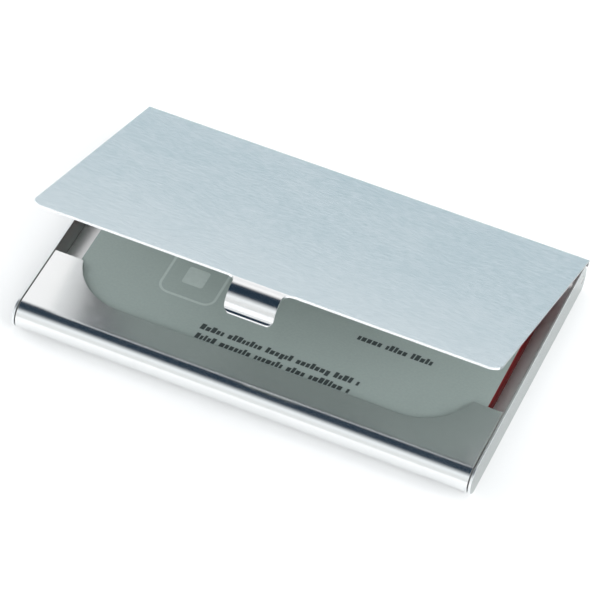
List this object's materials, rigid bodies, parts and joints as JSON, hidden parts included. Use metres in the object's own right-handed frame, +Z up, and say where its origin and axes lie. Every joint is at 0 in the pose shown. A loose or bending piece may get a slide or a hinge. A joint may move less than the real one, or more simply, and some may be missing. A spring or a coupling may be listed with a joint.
{
  "type": "business card case",
  "caption": "Slim sheet-metal card case with a rolled front edge, a hinged lid with a thumb tab, and a stack of blank cards inside.",
  "frame": {"origin": "middle of the base's underside, on the surface that the case lies on", "axes": "+X along the hinge line and the case's long side, +Y from the rolled front edge towards the hinge, +Z up through the lid"},
  "size_m": [0.095, 0.0615, 0.0281],
  "materials": {
    "base_aluminium": "satin",
    "lid_aluminium": "satin",
    "panel_aluminium": "satin",
    "pin_steel": "satin",
    "washer_nylon": "matte",
    "card_face": "matte",
    "card_edge": "matte"
  },
  "bodies": {
    "base": {"base_shell": "base_aluminium", "side_panel_left": "panel_aluminium", "side_panel_right": "panel_aluminium", "hinge_pin_left": "pin_steel", "hinge_pin_right": "pin_steel", "hinge_washer_left": "washer_nylon", "hinge_washer_right": "washer_nylon"},
    "lid": {"lid": "lid_aluminium"},
    "cards": {"card_stack": "card_edge", "top_card": "card_face"}
  },
  "joints": [
    {"name": "lid_hinge", "type": "hinge", "parent": "base", "child": "lid", "pos_m": [0, 0.02815, 0.0032], "axis": [-1, 0, 0], "range_deg": [-22.5, 66]},
    {"name": "card_side_play", "type": "slide", "parent": "base", "child": "cards", "axis": [1, 0, 0], "range_m": [-0.0038, 0.0018]}
  ]
}
